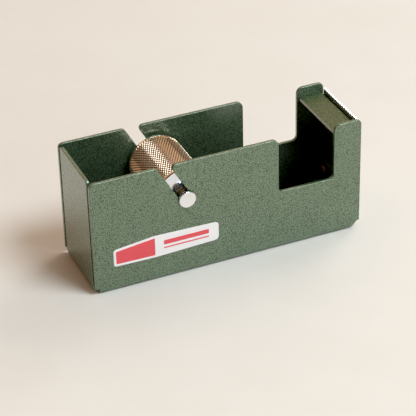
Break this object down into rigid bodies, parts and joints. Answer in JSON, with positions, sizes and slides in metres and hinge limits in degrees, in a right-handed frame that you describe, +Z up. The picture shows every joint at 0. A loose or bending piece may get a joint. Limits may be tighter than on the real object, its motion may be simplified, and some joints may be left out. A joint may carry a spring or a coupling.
{
  "type": "desk tape dispenser",
  "caption": "Folded sheet-steel desk tape dispenser with a knurled lift-out roller in slanted slots, a hand notch and a toothed cutting blade on a raised landing plate.",
  "frame": {"origin": "centre of the footprint, on the surface that the dispenser stands on", "axes": "+X along the length towards the blade, +Y across the width away from the labelled front panel, +Z up"},
  "size_m": [0.1244, 0.0406, 0.0538],
  "materials": {
    "hammer_paint": "hammertone stove enamel, half gloss, fine mottle",
    "bracket_paint": "olive enamel, half gloss",
    "blade_steel": "bright nickel-plated spring steel",
    "zinc_steel": "zinc-plated, satin",
    "copper_rivet": "copper, dull",
    "ballast_steel": "black phosphate, matte",
    "pad_rubber": "matte",
    "label_film": "printed vinyl film, semi-gloss",
    "axle_steel": "ground and polished",
    "knurled_steel": "diamond knurl, warm nickel plating",
    "cap_steel": "turned and polished",
    "bronze": "sintered bronze, oiled"
  },
  "bodies": {
    "housing": {"tray": "hammer_paint", "cutter_bracket": "bracket_paint", "bracket_rivets": "copper_rivet", "blade": "blade_steel", "blade_screws": "zinc_steel", "blade_washers": "zinc_steel", "blade_nuts": "zinc_steel", "ballast_plate": "ballast_steel", "ballast_screws": "zinc_steel", "base_pad": "pad_rubber", "label": "label_film"},
    "axle": {"axle_shaft": "axle_steel", "axle_head_front": "cap_steel", "axle_head_back": "cap_steel"},
    "roller": {"roller_sleeve": "knurled_steel", "roller_cap_front": "cap_steel", "roller_cap_back": "cap_steel", "roller_bushing_front": "bronze", "roller_bushing_back": "bronze"}
  },
  "joints": [
    {"name": "axle_lift", "type": "slide", "parent": "housing", "child": "axle", "axis": [-0.4924, 0, 0.8704], "range_m": [0, 0.042]},
    {"name": "roller_spin", "type": "hinge", "parent": "axle", "child": "roller", "pos_m": [-0.02015, 0, 0.0365], "axis": [0, 1, 0], "continuous": true}
  ]
}
